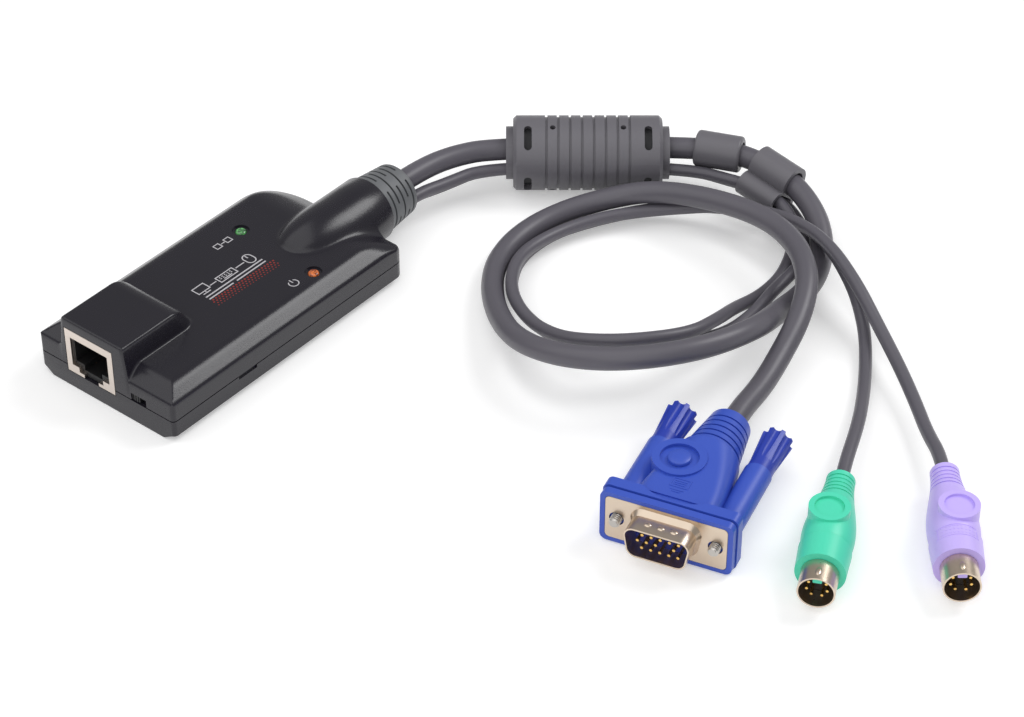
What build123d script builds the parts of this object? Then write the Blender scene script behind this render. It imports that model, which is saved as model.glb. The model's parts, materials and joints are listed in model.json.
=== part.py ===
from build123d import *
import os
import math

os.makedirs("parts", exist_ok=True)

# A cable adapter: a flat housing with a shielded network socket at one end,
# and three cords at the other that run through a ferrite clamp, a sleeve and
# a clip, round one loop, to a video plug and two round plugs. The origin is
# under the middle of the housing with its strain relief, +X runs from the
# socket to the cords and +Z is up.

# Housing
housing_length = 87.0
housing_width = 46.8
housing_wall = 1.8
housing_roof = 1.8
housing_floor = 2.0
seam_height = 6.55
side_height = 11.7
top_height = 14.9
foot_height = 1.9
foot_inset = 3.9
front_corner_radius = 1.2
rear_corner_radius = 9.5
floor_fillet = 0.8
rim_edge_radius = 0.9
shoulder_edge_radius = 0.8
shell_gap = 0.1
tab_length = 6.6
tab_drop = 0.9
tab_offset = 23.5

# Raised hump over the socket
hump_height = 21.3
hump_width = 21.4
hump_length = 21.0
hump_y = 3.85
hump_flare = 1.2
hump_rear_slope = 4.2
hump_corner_radius = 2.0
hump_edge_radius = 0.7
hump_wall = 1.6

# Cord gland at the rear end
gland_radius = 9.3
gland_wall = 1.7
gland_reach = 7.0
gland_nose = 16.0
gland_length = 30.0
gland_y = -5.0
gland_z = 10.7
gland_end_wall = 2.2

# Strain relief
relief_length = 11.5
relief_base_radius = 8.6
relief_end_radius = 7.5
relief_neck_radius = 5.6
relief_flange_radius = 7.2
relief_flange = 1.5
relief_gap = 0.1
relief_edge = 0.7
slot_rows = 5
slot_pitch = 1.95
slot_width = 0.62
slot_depth = 0.8
slot_arc = 92.0

# Circuit board and the socket
board_thickness = 1.6
board_length = 64.5
board_gap = 0.4
boss_height = 1.35
boss_radius = 2.6
boss_inset = 6.0
jack_y = 5.2
jack_side_gap = 0.8
jack_roof_gap = 1.35
jack_depth = 17.0
jack_sheet = 0.5
jack_face = 0.9
jack_gap = 0.2
window_side = 1.8
window_sill = 2.5
window_drop = 2.3
notch_width = 8.4
notch_drop = 1.5
gate_width = 5.0
socket_side = 0.55
socket_sill = 3.5
socket_depth = 13.0
socket_drop = 2.9
latch_width = 6.2
latch_drop = 1.7
contact_count = 8
contact_pitch = 1.02
contact_width = 0.46
contact_thickness = 0.35
contact_length = 8.0
contact_set_back = 2.0
contact_dip = 2.2

# Slide switch and the two lights
switch_y = -11.5
switch_slot_width = 5.2
switch_slot_height = 2.3
switch_travel = 2.2
slider_gap = 0.2
slider_set_back = 0.25
slider_notch = 0.4
switch_depth = 3.9
switch_width = 6.4
switch_height = 4.4
light_radius = 1.5
light_gap = 0.1
light_dome = 0.7
light_sink_radius = 2.3
light_sink_depth = 0.5
online_light_x = 8.4
online_light_inset = 12.8
power_light_x = 7.0
power_light_inset = 7.1

# Ferrite clamp
ferrite_x = 98.8
ferrite_y = -34.2
ferrite_z = 10.35
ferrite_heading = -50.9
ferrite_roll = 16.0
ferrite_radius = 10.25
ferrite_body = 40.7
ferrite_collar = 1.95
ferrite_collar_radius = 7.25
ferrite_bore_radius = 6.3
ferrite_shell = 1.6
ferrite_end_wall = 1.3
ferrite_play = 0.1
ferrite_edge = 0.9
core_bore_radius = 6.35
groove_count = 8
groove_pitch = 3.23
groove_width = 0.7
groove_depth = 0.5
vent_offset = 16.35
vent_width = 2.1
vent_length = 7.2
vent_angle = 43.0
peep_offset = 9.6
peep_radius = 0.78
peep_angle = 61.0

# Cords, with the sleeve and the clip on them
video_cord_diameter = 6.0
thin_cord_diameter = 3.4
cord_gap = 0.1
cord_bore = 5.0
sleeve_radius = 5.0
sleeve_length = 12.8
sleeve_gap = 0.45
sleeve_edge = 0.8
sleeve_place = 98.6
clip_radius = 4.8
clip_length = 12.4
clip_wall = 1.0
clip_spread = 4.5
clip_side = -4.18
clip_drop = -5.17
clip_turn = -40.0
clip_gap = 0.8
clip_place = 116.6

# Video plug
video_mouth_x = -9.6
video_mouth_y = -142.2
video_heading = 195.1
video_height = 7.75
flange_width = 30.8
flange_height = 12.5
flange_sheet = 0.8
flange_corner = 1.2
flange_gap = 0.1
screw_spacing = 24.99
rim_width = 33.6
rim_height = 15.0
rim_depth = 2.0
rim_corner = 1.8
block_width = 34.2
block_height = 15.5
block_depth = 3.0
block_groove = 0.5
groove_sink = 0.6
hood_width = 21.0
hood_height = 13.4
hood_corner = 3.0
shoulder_place = 20.0
shoulder_width = 18.0
waist_place = 28.5
waist_radius = 7.4
hood_length = 42.6
boot_end_radius = 5.4
boot_groove_count = 5
boot_groove_pitch = 2.3
boot_groove_width = 0.6
boot_groove_depth = 0.7
tunnel_radius = 3.6
tunnel_length = 28.4
shell_width = 17.4
shell_height = 8.7
shell_slant = 10.0
shell_corner = 2.6
shell_length = 6.3
shell_sheet = 0.45
root_flare = 1.0
root_length = 1.4
insert_length = 1.0
video_pin_radius = 0.38
video_pin_length = 4.0
video_pin_pitch = 2.29
video_row_pitch = 1.98
disc_radius = 6.7
disc_recess_radius = 4.8
disc_dome_radius = 2.8
disc_depth = 0.9
disc_rise = 0.4
disc_place = 19.3
disc_shift = -4.3
crescent_radius = 14.0
crescent_depth = 1.4
crescent_reach = 2.6
screw_radius = 1.42
screw_play = 0.08
screw_tip = 2.0
flange_hole_radius = 1.9
knob_gap = 0.3
knob_length = 13.5
knob_base_radius = 3.3
knob_end_radius = 4.1
knob_collar = 3.0
knob_flutes = 8
knob_flute_radius = 1.1
knob_flute_rise = 0.2
knob_socket = 4.0
knob_fit = 0.04

# Round plugs
mouse_mouth_x = -3.1
mouse_mouth_y = -180.6
mouse_heading = 206.0
mouse_thumb_place = 16.1
mouse_thumb_shift = -0.6
keyboard_mouth_x = 19.7
keyboard_mouth_y = -205.8
keyboard_heading = 218.5
keyboard_thumb_place = 14.6
keyboard_thumb_shift = 1.05
round_height = 6.5
din_radius = 4.55
din_sheet = 0.4
din_length = 6.8
din_shoulder = 0.2
din_neck = 0.22
din_seat = 2.2
din_play = 0.05
din_insert_depth = 5.4
din_pin_radius = 0.34
din_pin_length = 3.6
din_pin_circle = 2.5
din_key_width = 2.2
din_key_height = 1.1
din_key_length = 4.2
din_key_rise = 2.5
round_front_radius = 6.1
round_body_radius = 6.4
round_step_place = 7.5
round_step = 0.45
round_waist_place = 24.5
round_waist_radius = 4.6
round_hood_length = 33.4
round_end_radius = 3.6
thumb_radius = 5.0
thumb_recess_radius = 3.6
thumb_depth = 0.7
thumb_rise = 0.5
round_groove_count = 5
round_groove_pitch = 1.55
round_groove_width = 0.45
round_groove_depth = 0.5

# Routes of the three cords
video_route = [
    (47.75, -5.4, 12.3),
    (59.6, -5.4, 12.3),
    (72.0, -7.9, 12.1),
    (83.2, -14.5, 11.7),
    (116.9, -55.8, 12.1),
    (122.8, -69.6, 12.5),
    (122.8, -84.5, 11.1),
    (118.5, -95.7, 8.8),
    (111.8, -103.7, 6.4),
    (102.9, -109.2, 4.4),
    (92.3, -112.0, 3.8),
    (77.3, -113.6, 7.1),
    (57.5, -119.5, 16.4),
    (39.1, -115.5, 19.2),
    (25.1, -103.1, 18.4),
    (19.2, -87.9, 15.6),
    (21.1, -71.9, 11.5),
    (32.2, -56.2, 6.0),
    (44.2, -44.8, 3.8),
    (55.7, -38.8, 3.0),
    (68.1, -37.4, 3.1),
    (80.2, -40.6, 4.0),
    (90.3, -47.9, 6.0),
    (96.9, -58.0, 9.5),
    (100.4, -74.1, 12.4),
    (100.4, -92.1, 14.7),
    (95.1, -106.4, 15.4),
    (86.0, -116.5, 14.2),
    (74.0, -122.3, 11.5),
    (60.1, -125.3, 7.8),
    (49.1, -127.8, 7.0),
]
keyboard_route = [
    (47.75, -9.6, 9.2),
    (56.0, -9.6, 9.2),
    (65.2, -11.2, 8.0),
    (78.8, -15.3, 8.2),
    (112.6, -57.3, 8.1),
    (116.2, -71.5, 7.9),
    (117.7, -78.6, 8.1),
    (116.4, -87.8, 7.3),
    (111.4, -95.2, 5.6),
    (103.0, -99.7, 3.1),
    (94.6, -101.9, 1.75),
    (84.6, -102.2, 1.9),
    (73.2, -102.5, 5.4),
    (61.2, -105.9, 10.9),
    (47.4, -107.1, 15.2),
    (34.2, -99.0, 17.0),
    (28.6, -88.6, 15.2),
    (28.4, -79.0, 12.0),
    (31.6, -68.1, 9.1),
    (38.8, -56.4, 7.2),
    (48.2, -48.5, 6.2),
    (58.1, -44.6, 5.2),
    (70.8, -45.1, 4.2),
    (83.1, -50.2, 4.4),
    (92.2, -57.2, 4.7),
    (99.6, -65.9, 5.7),
    (104.4, -75.1, 7.8),
    (107.1, -86.3, 10.1),
    (106.3, -99.3, 12.6),
    (102.3, -111.7, 13.6),
    (95.3, -125.3, 11.1),
    (88.8, -136.0, 7.7),
    (83.2, -144.3, 6.2),
    (77.7, -151.7, 5.3),
    (70.7, -160.2, 4.6),
    (63.4, -168.0, 4.7),
]
mouse_route = [
    (47.75, -6.6, 6.5),
    (56.6, -6.6, 6.5),
    (67.9, -7.8, 4.2),
    (81.3, -13.2, 6.0),
    (115.3, -55.4, 5.9),
    (120.0, -70.6, 4.7),
    (121.0, -78.3, 5.3),
    (119.6, -87.5, 4.5),
    (114.7, -96.1, 3.3),
    (105.4, -102.8, 3.1),
    (95.9, -104.8, 4.3),
    (86.3, -105.3, 4.2),
    (75.2, -106.7, 3.6),
    (61.8, -107.3, 5.9),
    (47.0, -104.7, 11.2),
    (36.5, -97.6, 12.9),
    (31.4, -88.8, 11.7),
    (30.8, -79.8, 9.2),
    (33.7, -69.9, 6.4),
    (39.1, -58.5, 4.0),
    (46.4, -49.3, 2.5),
    (58.4, -42.7, 1.78),
    (72.1, -42.7, 1.76),
    (84.1, -47.5, 1.75),
    (95.0, -55.5, 2.7),
    (101.9, -63.5, 4.0),
    (107.1, -74.1, 5.4),
    (110.4, -88.1, 8.0),
    (109.2, -99.0, 10.0),
    (105.1, -110.1, 10.7),
    (98.1, -122.2, 7.7),
    (91.7, -129.8, 4.7),
    (85.8, -135.0, 2.9),
    (77.8, -140.5, 1.78),
    (67.3, -146.8, 2.5),
    (54.3, -153.7, 5.2),
]

total_length = housing_length + gland_reach + relief_length
housing_front = -total_length / 2
housing_rear = housing_front + housing_length
housing_mid = housing_front + housing_length / 2
relief_base = housing_rear + gland_reach
relief_end = relief_base + relief_length
board_bottom = housing_floor + boss_height
board_top = board_bottom + board_thickness
board_x = housing_front + housing_wall + board_gap + board_length / 2
board_width = housing_width - 2 * housing_wall - 2 * board_gap
jack_width = hump_width - 2 * hump_wall - 2 * jack_side_gap
jack_height = hump_height - hump_wall - jack_roof_gap - board_top
window_width = jack_width - 2 * window_side
window_height = jack_height - window_drop - window_sill
socket_width = window_width - 2 * socket_side
socket_height = jack_height - socket_drop - socket_sill
jack_top = board_top + jack_height
window_top = jack_top - window_drop
socket_top = jack_top - socket_drop
online_light = (online_light_x, housing_width / 2 - online_light_inset)
power_light = (power_light_x, power_light_inset - housing_width / 2)
gland_axis = Axis((0, gland_y, gland_z), (1, 0, 0))
reach = 4 * housing_length


def housing_plan(inset):
    with BuildSketch() as plan:
        with Locations((housing_mid, 0)):
            Rectangle(housing_length - 2 * inset, housing_width - 2 * inset)
        corners = plan.vertices().group_by(Axis.X)
        fillet(corners[0], front_corner_radius)
        fillet(corners[-1], rear_corner_radius - inset)
    return plan.sketch


def housing_block(inset, bottom, side, top, foot_in, foot_up):
    half = housing_width / 2 - inset
    with BuildPart() as block:
        with BuildSketch(Plane.XY.offset(bottom)):
            add(housing_plan(inset))
        extrude(amount=side - bottom)
        with BuildSketch(Plane.XY.offset(side)):
            add(housing_plan(inset))
        with BuildSketch(Plane.XY.offset(top)):
            add(housing_plan(inset + top - side))
        loft(ruled=True)
        with BuildSketch(Plane.YZ):
            with BuildLine():
                Polyline(
                    (-half + foot_in, bottom),
                    (half - foot_in, bottom),
                    (half, bottom + foot_up),
                    (half, top),
                    (-half, top),
                    (-half, bottom + foot_up),
                    close=True,
                )
            make_face()
        extrude(amount=housing_length, both=True, mode=Mode.INTERSECT)
    return block.part


def gland_body(radius, nose_x, nose_length, end_x):
    with BuildPart() as body:
        with BuildSketch(Plane.XZ.offset(-gland_y)):
            with BuildLine():
                center = (nose_x + nose_length, gland_z)
                curve = EllipticalCenterArc(center, nose_length, radius, 90, arc_size=90)
                Polyline(curve @ 0, (end_x, gland_z + radius), (end_x, gland_z), curve @ 1)
            make_face()
        revolve(axis=gland_axis)
    return body.part


def hump_body(shrink, height, corner):
    left = hump_y + hump_width / 2 - shrink
    right = hump_y - hump_width / 2 + shrink
    front = housing_front + shrink
    rear = housing_front + hump_length - shrink
    rise = (height - side_height) / (hump_height - side_height)
    with BuildPart() as body:
        for level, part in ((side_height, 0), (height, rise)):
            flare = hump_flare * (1 - part)
            slope = hump_rear_slope * (1 - part)
            with BuildSketch(Plane.XY.offset(level)):
                with BuildLine():
                    Polyline(
                        (front, right - flare),
                        (rear + slope, right - flare),
                        (rear + slope, left + flare),
                        (front, left + flare),
                        close=True,
                    )
                make_face()
        loft(ruled=True)
        uprights = body.edges().filter_by_position(Axis.Z, side_height + 0.1, height - 0.1)
        fillet(uprights.sort_by(Axis.X)[-2:], corner)
    return body.part


outer_block = housing_block(0, 0, side_height, top_height, foot_inset, foot_height)
inner_side = side_height + housing_wall - housing_wall * math.sqrt(2)
inner_top = top_height - housing_roof
inner_block = housing_block(housing_wall, housing_floor, inner_side, inner_top, floor_fillet, floor_fillet)
gland_start = relief_base - gland_length
gland_outer = gland_body(gland_radius, gland_start, gland_nose, relief_base)
gland_inner = gland_body(
    gland_radius - gland_wall,
    gland_start + gland_wall,
    gland_nose,
    relief_base - gland_end_wall,
)
hump_outer = hump_body(0, hump_height, hump_corner_radius)
hump_inner = hump_body(hump_wall, hump_height - hump_wall, hump_corner_radius / 2)
below_seam = Pos(0, 0, seam_height - reach) * Box(2 * reach, 2 * reach, 2 * reach)
above_seam = Pos(0, 0, seam_height + reach) * Box(2 * reach, 2 * reach, 2 * reach)
jack_hole = Pos(housing_front, jack_y, (board_top + jack_top) / 2) * Box(
    4 * hump_wall + 4 * housing_wall,
    jack_width + 2 * jack_gap,
    jack_height + 2 * jack_gap,
)
neck_hole = Plane.YZ.offset(relief_base) * Pos(gland_y, gland_z, 0) * Cylinder(
    relief_neck_radius + relief_gap, 4 * gland_end_wall
)
tab_x = housing_front + tab_offset + tab_length / 2

with BuildPart() as bottom_shell:
    add(outer_block)
    add(gland_outer)
    add(inner_block, mode=Mode.SUBTRACT)
    add(gland_inner, mode=Mode.SUBTRACT)
    add(above_seam, mode=Mode.SUBTRACT)
    add(jack_hole, mode=Mode.SUBTRACT)
    add(neck_hole, mode=Mode.SUBTRACT)
    with Locations((tab_x, -housing_width / 2, seam_height)):
        Box(
            tab_length + 2 * shell_gap,
            3 * housing_wall,
            2 * (tab_drop + shell_gap),
            mode=Mode.SUBTRACT,
        )
    with Locations((board_x, 0, housing_floor)):
        with GridLocations(board_length - 2 * boss_inset, board_width - 2 * boss_inset, 2, 2):
            Cylinder(boss_radius, boss_height, align=(Align.CENTER, Align.CENTER, Align.MIN))
bottom_shell.part.label = "bottom_shell"
export_step(bottom_shell.part, "parts/bottom_shell.step")

with BuildPart() as top_shell:
    add(outer_block)
    fillet(top_shell.faces().sort_by(Axis.Z)[-1].edges(), rim_edge_radius)
    fillet(top_shell.edges().filter_by_position(Axis.Z, side_height, side_height), shoulder_edge_radius)
    add(gland_outer)
    add(hump_outer)
    hump_top = top_shell.faces().sort_by(Axis.Z)[-1]
    fillet(hump_top.edges(), hump_edge_radius)
    add(inner_block, mode=Mode.SUBTRACT)
    add(gland_inner, mode=Mode.SUBTRACT)
    add(hump_inner, mode=Mode.SUBTRACT)
    add(below_seam, mode=Mode.SUBTRACT)
    add(jack_hole, mode=Mode.SUBTRACT)
    add(neck_hole, mode=Mode.SUBTRACT)
    with Locations((housing_front, switch_y, seam_height)):
        Box(4 * housing_wall, switch_slot_width, 2 * switch_slot_height, mode=Mode.SUBTRACT)
    with Locations((*online_light, top_height), (*power_light, top_height)):
        CounterBoreHole(
            light_radius + light_gap, light_sink_radius, light_sink_depth, housing_roof + light_sink_depth
        )
    with Locations((tab_x, -housing_width / 2, seam_height - tab_drop)):
        Box(tab_length, housing_wall, 2 * tab_drop, align=(Align.CENTER, Align.MIN, Align.MIN))
top_shell.part.label = "top_shell"
export_step(top_shell.part, "parts/top_shell.step")

with BuildPart() as circuit_board:
    with Locations((board_x, 0, board_bottom)):
        Box(board_length, board_width, board_thickness, align=(Align.CENTER, Align.CENTER, Align.MIN))
circuit_board.part.label = "circuit_board"
export_step(circuit_board.part, "parts/circuit_board.step")

jack_plane = Plane(origin=(housing_front, jack_y, board_top), x_dir=(0, -1, 0), z_dir=(-1, 0, 0))
with BuildPart() as jack_shield:
    with BuildSketch(jack_plane):
        Rectangle(jack_width, jack_height, align=(Align.CENTER, Align.MIN))
    extrude(amount=-jack_face)
    with BuildSketch(jack_plane.offset(-jack_face)):
        Rectangle(jack_width - 2 * jack_sheet, jack_height - jack_sheet, align=(Align.CENTER, Align.MIN))
    extrude(amount=-(jack_depth - jack_face))
    with BuildSketch(jack_plane.offset(-jack_face)):
        Rectangle(
            jack_width - 4 * jack_sheet, jack_height - 2 * jack_sheet, align=(Align.CENTER, Align.MIN)
        )
    extrude(amount=-(jack_depth - jack_face - jack_sheet), mode=Mode.SUBTRACT)
    with BuildSketch(jack_plane):
        with Locations((0, window_top - board_top)):
            Rectangle(window_width, window_height, align=(Align.CENTER, Align.MAX))
            Rectangle(notch_width, window_height + notch_drop, align=(Align.CENTER, Align.MAX))
            Rectangle(gate_width, jack_height, align=(Align.CENTER, Align.MAX))
    extrude(amount=-jack_face, mode=Mode.SUBTRACT)
jack_shield.part.label = "jack_shield"
export_step(jack_shield.part, "parts/jack_shield.step")

with BuildPart() as jack_insert:
    with BuildSketch(jack_plane.offset(-jack_face)):
        Rectangle(
            jack_width - 4 * jack_sheet, jack_height - 2 * jack_sheet, align=(Align.CENTER, Align.MIN)
        )
    extrude(amount=-(jack_depth - jack_face - jack_sheet))
    with BuildSketch(jack_plane.offset(-jack_face)):
        with Locations((0, socket_top - board_top)):
            Rectangle(socket_width, socket_height, align=(Align.CENTER, Align.MAX))
            Rectangle(latch_width, socket_height + latch_drop, align=(Align.CENTER, Align.MAX))
    extrude(amount=-socket_depth, mode=Mode.SUBTRACT)
jack_insert.part.label = "jack_insert"
export_step(jack_insert.part, "parts/jack_insert.step")

contact_front = housing_front + jack_face + contact_set_back
with BuildPart() as jack_contacts:
    for index in range(contact_count):
        offset_y = (index - (contact_count - 1) / 2) * contact_pitch
        with BuildSketch(Plane.XZ.offset(-(jack_y + offset_y))):
            with BuildLine():
                Polyline(
                    (contact_front, socket_top),
                    (contact_front + contact_thickness * 2, socket_top),
                    (contact_front + contact_length, socket_top - contact_dip + contact_thickness),
                    (contact_front + contact_length, socket_top - contact_dip),
                    (contact_front + contact_length - contact_thickness, socket_top - contact_dip),
                    (contact_front, socket_top - contact_thickness),
                    close=True,
                )
            make_face()
        extrude(amount=contact_width / 2, both=True)
jack_contacts.part.label = "jack_contacts"
export_step(jack_contacts.part, "parts/jack_contacts.step")

switch_front = housing_front + housing_wall + slider_gap
with BuildPart() as switch_body:
    with Locations((switch_front, switch_y, board_top)):
        Box(switch_depth, switch_width, switch_height, align=(Align.MIN, Align.CENTER, Align.MIN))
switch_body.part.label = "switch_body"
export_step(switch_body.part, "parts/switch_body.step")

slider_width = switch_slot_width - switch_travel - 2 * slider_gap
slider_y = switch_y + switch_slot_width / 2 - slider_gap - slider_width / 2
slider_front = housing_front + slider_set_back
with BuildPart() as switch_slider:
    with BuildSketch(Plane.XY.offset(seam_height + slider_gap)):
        with Locations((slider_front, slider_y)):
            Rectangle(
                switch_front - shell_gap - slider_front, slider_width, align=(Align.MIN, Align.CENTER)
            )
            with GridLocations(1, slider_width / 3, 1, 3):
                Rectangle(slider_notch, slider_width / 6, mode=Mode.SUBTRACT)
    extrude(amount=switch_slot_height - 2 * slider_gap)
switch_slider.part.label = "switch_slider"
export_step(switch_slider.part, "parts/switch_slider.step")

for name, spot in (("led_online", online_light), ("led_power", power_light)):
    with BuildPart() as light:
        with Locations((*spot, board_top)):
            Cylinder(
                light_radius, top_height - board_top, align=(Align.CENTER, Align.CENTER, Align.MIN)
            )
        fillet(light.edges().group_by(Axis.Z)[-1], light_dome)
    light.part.label = name
    export_step(light.part, "parts/" + name + ".step")

relief_seat = relief_base - gland_end_wall - relief_gap
with BuildPart() as strain_relief:
    with BuildSketch(Plane.XZ.offset(-gland_y)):
        with BuildLine():
            Polyline(
                (relief_seat - relief_flange, gland_z),
                (relief_seat - relief_flange, gland_z + relief_flange_radius),
                (relief_seat, gland_z + relief_flange_radius),
                (relief_seat, gland_z + relief_neck_radius),
                (relief_base, gland_z + relief_neck_radius),
                (relief_base, gland_z + relief_base_radius),
                (relief_end, gland_z + relief_end_radius),
                (relief_end, gland_z),
                close=True,
            )
        make_face()
    revolve(axis=gland_axis)
    rims = strain_relief.edges().filter_by(GeomType.CIRCLE).group_by(Axis.X)
    fillet(rims[-1], relief_edge)
    for row in range(slot_rows):
        row_x = relief_base + relief_length / 2 + (row - (slot_rows - 1) / 2) * slot_pitch
        for third in range(3):
            start = math.radians(120 * third + 60 * (row % 2) + 8)
            slot_plane = Plane(
                origin=(row_x, gland_y, gland_z),
                x_dir=(1, 0, 0),
                z_dir=(0, -math.sin(start), math.cos(start)),
            )
            with BuildSketch(slot_plane):
                with Locations((0, relief_end_radius - slot_depth)):
                    Rectangle(slot_width, relief_base_radius, align=(Align.CENTER, Align.MIN))
            revolve(axis=gland_axis, revolution_arc=slot_arc, mode=Mode.SUBTRACT)
    with BuildSketch(Plane.YZ.offset(relief_end)):
        with Locations(video_route[0][1:]):
            Circle(video_cord_diameter / 2 + cord_gap)
        with Locations(keyboard_route[0][1:], mouse_route[0][1:]):
            Circle(thin_cord_diameter / 2 + cord_gap)
    extrude(amount=-cord_bore, mode=Mode.SUBTRACT)
strain_relief.part.label = "strain_relief"
export_step(strain_relief.part, "parts/strain_relief.step")

# Ferrite clamp
heading = math.radians(ferrite_heading)
roll = math.radians(ferrite_roll)
ferrite_dir = Vector(math.cos(heading), math.sin(heading), 0)
ferrite_center = Vector(ferrite_x, ferrite_y, ferrite_z)
ferrite_side = ferrite_dir.cross(Vector(0, 0, 1))
ferrite_up = Vector(0, 0, 1) * math.cos(roll) - ferrite_side * math.sin(roll)
ferrite_seam = ferrite_dir.cross(ferrite_up)
ferrite_axis = Axis(ferrite_center, ferrite_dir)
ferrite_half = ferrite_body / 2
ferrite_end = ferrite_half + ferrite_collar

with BuildPart() as ferrite_core:
    with BuildSketch(Plane(origin=ferrite_center, x_dir=ferrite_seam, z_dir=ferrite_dir)):
        Circle(ferrite_radius - ferrite_shell - ferrite_play)
        Circle(core_bore_radius, mode=Mode.SUBTRACT)
    extrude(amount=ferrite_half - ferrite_end_wall - ferrite_play, both=True)
ferrite_core.part.label = "ferrite_core"
export_step(ferrite_core.part, "parts/ferrite_core.step")

for name, turn in (("ferrite_cover_upper", 1), ("ferrite_cover_lower", -1)):
    start = ferrite_seam * -turn
    normal = ferrite_up * turn
    with BuildPart() as cover:
        with BuildSketch(Plane(origin=ferrite_center, x_dir=ferrite_dir, z_dir=ferrite_dir.cross(start))):
            with BuildLine():
                Polyline(
                    (-ferrite_end, ferrite_bore_radius),
                    (-ferrite_end, ferrite_collar_radius),
                    (-ferrite_half, ferrite_collar_radius),
                    (-ferrite_half, ferrite_radius - ferrite_edge),
                    (-ferrite_half + ferrite_edge, ferrite_radius),
                    (ferrite_half - ferrite_edge, ferrite_radius),
                    (ferrite_half, ferrite_radius - ferrite_edge),
                    (ferrite_half, ferrite_collar_radius),
                    (ferrite_end, ferrite_collar_radius),
                    (ferrite_end, ferrite_bore_radius),
                    close=True,
                )
            make_face()
            Rectangle(
                ferrite_body - 2 * ferrite_end_wall,
                2 * (ferrite_radius - ferrite_shell),
                mode=Mode.SUBTRACT,
            )
            with Locations((0, ferrite_radius)):
                with GridLocations(groove_pitch, 1, groove_count, 1):
                    Rectangle(groove_width, 2 * groove_depth, mode=Mode.SUBTRACT)
        revolve(axis=ferrite_axis, revolution_arc=180)
        vent = math.radians(vent_angle)
        peep = math.radians(peep_angle)
        vent_dir = ferrite_seam * math.cos(vent) + normal * math.sin(vent)
        peep_dir = ferrite_seam * math.cos(peep) + normal * math.sin(peep)
        vent_plane = Plane(
            origin=ferrite_center + vent_dir * ferrite_radius * 1.2, x_dir=ferrite_dir, z_dir=vent_dir
        )
        peep_plane = Plane(
            origin=ferrite_center + peep_dir * ferrite_radius * 1.2, x_dir=ferrite_dir, z_dir=peep_dir
        )
        with BuildSketch(vent_plane):
            with GridLocations(2 * vent_offset, 1, 2, 1):
                SlotOverall(vent_length, vent_width, rotation=90)
        extrude(amount=-0.5 * ferrite_radius, mode=Mode.SUBTRACT)
        with BuildSketch(peep_plane):
            with GridLocations(2 * peep_offset, 1, 2, 1):
                Circle(peep_radius)
        extrude(amount=-0.5 * ferrite_radius, mode=Mode.SUBTRACT)
    cover.part.label = name
    export_step(cover.part, "parts/" + name + ".step")


def plug_plane(mouth_x, mouth_y, angle, height, back):
    turn = math.radians(angle)
    return Plane(
        origin=(mouth_x - math.cos(turn) * back, mouth_y - math.sin(turn) * back, height),
        x_dir=(-math.sin(turn), math.cos(turn), 0),
        z_dir=(math.cos(turn), math.sin(turn), 0),
    )


def video_plane(back):
    return plug_plane(video_mouth_x, video_mouth_y, video_heading, video_height, back)


def cord_end(plane, lead):
    inner = plane.origin
    outer = inner - plane.z_dir * (cord_bore + lead)
    return [tuple(outer), tuple(inner)]


def corner_radii(points):
    radii = []
    for before, corner, after in zip(points[:-2], points[1:-1], points[2:]):
        first = Vector(*corner) - Vector(*before)
        second = Vector(*after) - Vector(*corner)
        turn = math.radians(first.get_angle(second))
        radii.append(0.45 * min(first.length, second.length) / math.tan(turn / 2))
    return radii


# Cords
round_back = din_length + round_hood_length - cord_bore
mouse_end = plug_plane(mouse_mouth_x, mouse_mouth_y, mouse_heading, round_height, round_back)
keyboard_end = plug_plane(
    keyboard_mouth_x, keyboard_mouth_y, keyboard_heading, round_height, round_back
)
video_points = video_route + cord_end(video_plane(hood_length - cord_bore), video_cord_diameter)
keyboard_points = keyboard_route + cord_end(keyboard_end, 1.6 * thin_cord_diameter)
mouse_points = mouse_route + cord_end(mouse_end, 1.8 * thin_cord_diameter)
paths = {}
for name, points, size in (
    ("video_cord", video_points, video_cord_diameter),
    ("keyboard_cord", keyboard_points, thin_cord_diameter),
    ("mouse_cord", mouse_points, thin_cord_diameter),
):
    radii = corner_radii(points)
    print(name, "radii", [round(value, 1) for value in radii])
    with BuildPart() as cord:
        with BuildLine() as path:
            FilletPolyline(*points, radius=radii)
        spine = path.wires()[0]
        with BuildSketch(Plane(origin=spine @ 0, z_dir=spine % 0)):
            Circle(size / 2)
        sweep(path=spine)
    paths[name] = spine
    section = math.pi * size * size / 4
    print(name, "length", round(spine.length, 1), "volume", round(cord.part.volume, 1))
    print(name, "section times length", round(section * spine.length, 1))
    cord.part.label = name
    export_step(cord.part, "parts/" + name + ".step")


def place_on_cord(line, distance, length):
    first = line.position_at(distance - length / 2, PositionMode.LENGTH)
    middle = line.position_at(distance, PositionMode.LENGTH)
    last = line.position_at(distance + length / 2, PositionMode.LENGTH)
    along = (last - first).normalized()
    side = along.cross(Vector(0, 0, 1)).normalized()
    return Plane(origin=(first + last) * 0.25 + middle * 0.5, x_dir=-side, z_dir=along)


sleeve_plane = place_on_cord(paths["video_cord"], sleeve_place, sleeve_length)
with BuildPart() as cable_sleeve:
    with BuildSketch(sleeve_plane):
        Circle(sleeve_radius)
    extrude(amount=sleeve_length / 2, both=True)
    fillet(cable_sleeve.edges().filter_by(GeomType.CIRCLE), sleeve_edge)
    with BuildSketch(sleeve_plane):
        Circle(video_cord_diameter / 2 + sleeve_gap)
    extrude(amount=sleeve_length, both=True, mode=Mode.SUBTRACT)
cable_sleeve.part.label = "cable_sleeve"
export_step(cable_sleeve.part, "parts/cable_sleeve.step")

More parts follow.
